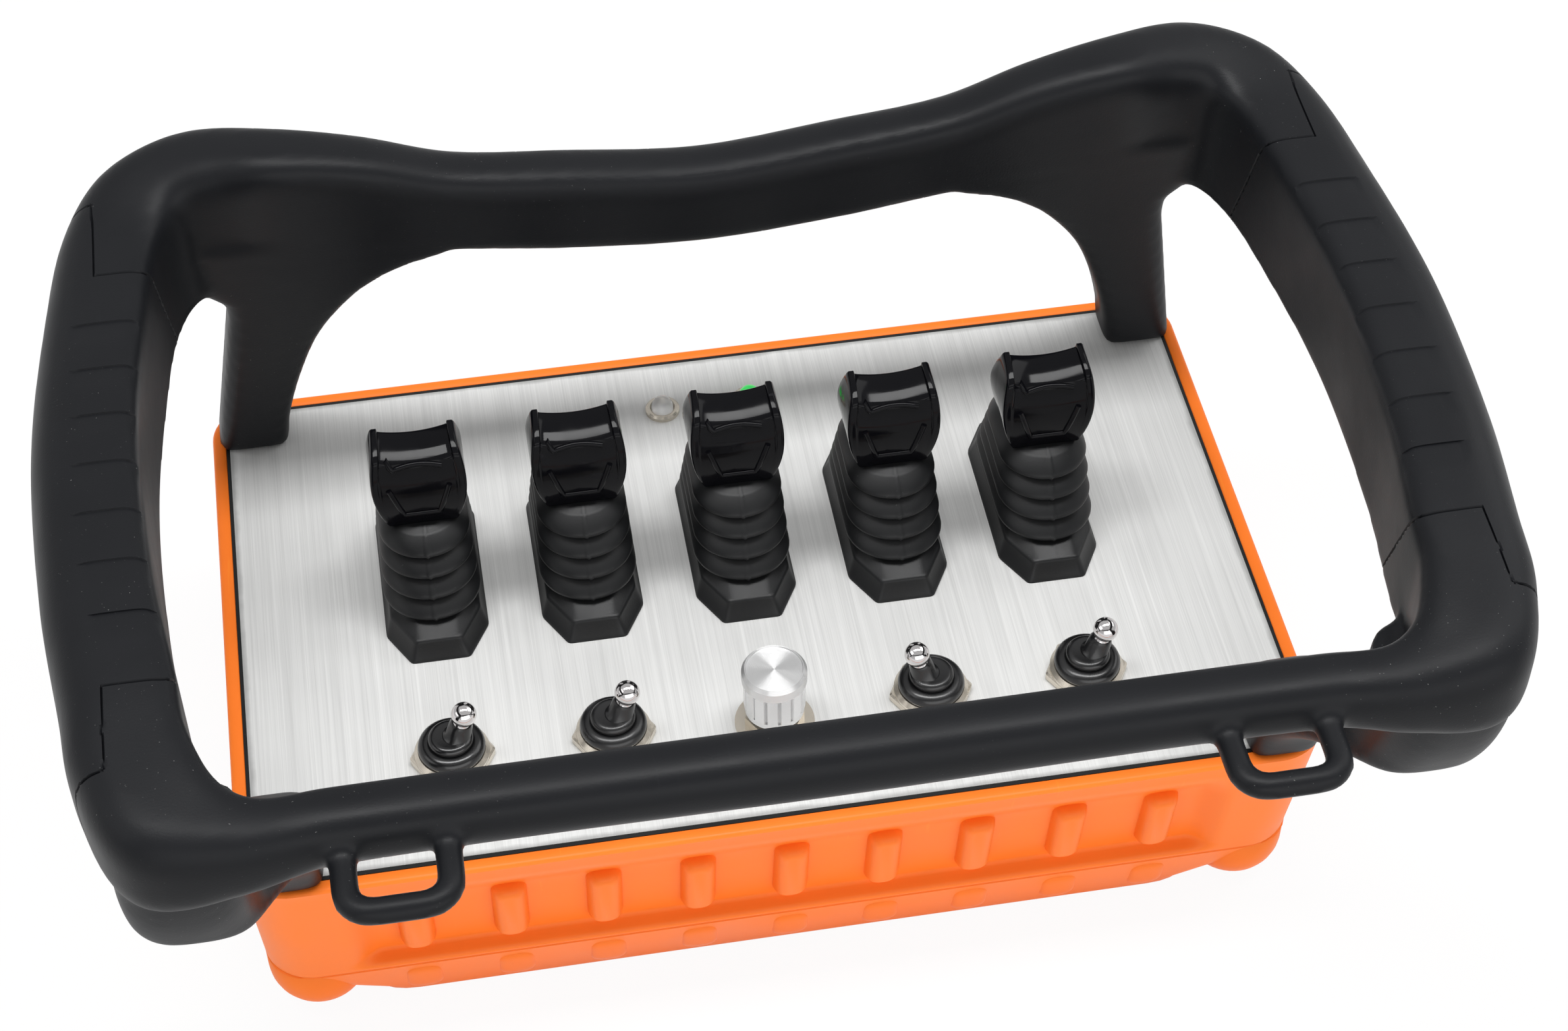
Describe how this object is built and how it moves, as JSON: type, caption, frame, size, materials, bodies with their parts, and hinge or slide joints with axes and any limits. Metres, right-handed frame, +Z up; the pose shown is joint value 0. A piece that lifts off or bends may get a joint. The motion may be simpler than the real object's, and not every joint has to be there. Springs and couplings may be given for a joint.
{
  "type": "crane radio remote control",
  "caption": "Hand-carried crane radio remote: orange moulded box with a brushed steel panel, paddle levers, sealed toggles, a rotary knob, signal lamps and a black guard frame with side grips.",
  "frame": {"origin": "middle of the housing's underside, on the resting surface, below the centre of the panel", "axes": "+X to the operator's right, +Y away from the operator, +Z up"},
  "size_m": [0.3062, 0.2261, 0.1654],
  "materials": {
    "orange_housing": "satin moulded plastic",
    "black_frame": "fine-textured matte",
    "steel_panel": "brushed along Y",
    "boot_rubber": "matte",
    "gloss_knob": "gloss",
    "bright_nickel": "polished nickel",
    "bright_chrome": "polished",
    "clear_barrel": "clear, fluted",
    "spun_cap": "spun",
    "clear_lens": "clear",
    "green_lens": "lit green",
    "plated_steel": "zinc plated",
    "switch_case": "matte",
    "board_laminate": "solder mask",
    "radio_can": "tinned",
    "battery_wrap": "shrink wrap"
  },
  "bodies": {
    "housing": {"lever_boot_1": "boot_rubber", "lever_boot_2": "boot_rubber", "lever_boot_3": "boot_rubber", "lever_boot_4": "boot_rubber", "lever_boot_5": "boot_rubber", "lever_bracket_1": "plated_steel", "lever_bracket_2": "plated_steel", "lever_bracket_3": "plated_steel", "lever_bracket_4": "plated_steel", "lever_bracket_5": "plated_steel", "lever_pins": "plated_steel", "return_springs": "plated_steel", "toggle_boot_1": "boot_rubber", "toggle_boot_2": "boot_rubber", "toggle_boot_3": "boot_rubber", "toggle_boot_4": "boot_rubber", "toggle_body_1": "switch_case", "toggle_body_2": "switch_case", "toggle_body_3": "switch_case", "toggle_body_4": "switch_case", "toggle_nuts": "bright_nickel", "pot_body": "switch_case", "pot_nut": "bright_nickel", "pot_washer": "bright_nickel", "lamp_bezels": "bright_chrome", "clear_lens": "clear_lens", "green_lens": "green_lens", "upper_housing": "orange_housing", "lower_housing": "orange_housing", "control_panel": "steel_panel", "panel_gasket": "boot_rubber", "rear_handle": "black_frame", "front_bar": "black_frame", "left_grip": "black_frame", "right_grip": "black_frame", "frame_screws": "plated_steel", "housing_screws": "plated_steel", "board_screws": "plated_steel", "circuit_board": "board_laminate", "radio_module": "radio_can", "battery_pack": "battery_wrap", "battery_cover": "orange_housing"},
    "lever_1": {"lever_knob_1": "gloss_knob", "lever_shaft_1": "plated_steel"},
    "lever_2": {"lever_knob_2": "gloss_knob", "lever_shaft_2": "plated_steel"},
    "lever_3": {"lever_knob_3": "gloss_knob", "lever_shaft_3": "plated_steel"},
    "lever_4": {"lever_knob_4": "gloss_knob", "lever_shaft_4": "plated_steel"},
    "lever_5": {"lever_knob_5": "gloss_knob", "lever_shaft_5": "plated_steel"},
    "toggle_1": {"toggle_lever_1": "bright_chrome"},
    "toggle_2": {"toggle_lever_2": "bright_chrome"},
    "toggle_3": {"toggle_lever_3": "bright_chrome"},
    "toggle_4": {"toggle_lever_4": "bright_chrome"},
    "dial": {"rotary_knob": "clear_barrel", "knob_cap": "spun_cap", "pot_shaft": "plated_steel"}
  },
  "joints": [
    {"name": "lever_1_hinge", "type": "hinge", "parent": "housing", "child": "lever_1", "pos_m": [-0.07392, 0.0113, 0.046], "axis": [1, 0, 0], "range_deg": [-22, 22], "stiffness_Nm_per_rad": 0.8, "deforming": ["lever_boot_1"]},
    {"name": "lever_2_hinge", "type": "hinge", "parent": "housing", "child": "lever_2", "pos_m": [-0.03696, 0.0113, 0.046], "axis": [1, 0, 0], "range_deg": [-22, 22], "stiffness_Nm_per_rad": 0.8, "deforming": ["lever_boot_2"]},
    {"name": "lever_3_hinge", "type": "hinge", "parent": "housing", "child": "lever_3", "pos_m": [0, 0.0113, 0.046], "axis": [1, 0, 0], "range_deg": [-22, 22], "stiffness_Nm_per_rad": 0.8, "deforming": ["lever_boot_3"]},
    {"name": "lever_4_hinge", "type": "hinge", "parent": "housing", "child": "lever_4", "pos_m": [0.03696, 0.0113, 0.046], "axis": [1, 0, 0], "range_deg": [-22, 22], "stiffness_Nm_per_rad": 0.8, "deforming": ["lever_boot_4"]},
    {"name": "lever_5_hinge", "type": "hinge", "parent": "housing", "child": "lever_5", "pos_m": [0.07392, 0.0113, 0.046], "axis": [1, 0, 0], "range_deg": [-22, 22], "stiffness_Nm_per_rad": 0.8, "deforming": ["lever_boot_5"]},
    {"name": "toggle_1_hinge", "type": "hinge", "parent": "housing", "child": "toggle_1", "pos_m": [-0.07392, -0.046, 0.0615], "axis": [0, 1, 0], "range_deg": [-30, 0], "deforming": ["toggle_boot_1"]},
    {"name": "toggle_2_hinge", "type": "hinge", "parent": "housing", "child": "toggle_2", "pos_m": [-0.03696, -0.046, 0.0615], "axis": [0, 1, 0], "range_deg": [-30, 0], "deforming": ["toggle_boot_2"]},
    {"name": "toggle_3_hinge", "type": "hinge", "parent": "housing", "child": "toggle_3", "pos_m": [0.03696, -0.046, 0.0615], "axis": [0, 1, 0], "range_deg": [0, 30], "deforming": ["toggle_boot_3"]},
    {"name": "toggle_4_hinge", "type": "hinge", "parent": "housing", "child": "toggle_4", "pos_m": [0.07392, -0.046, 0.0615], "axis": [0, 1, 0], "range_deg": [-30, 0], "deforming": ["toggle_boot_4"]},
    {"name": "dial_hinge", "type": "hinge", "parent": "housing", "child": "dial", "pos_m": [0, -0.048, 0.064], "axis": [0, 0, 1], "range_deg": [-150, 150]}
  ]
}
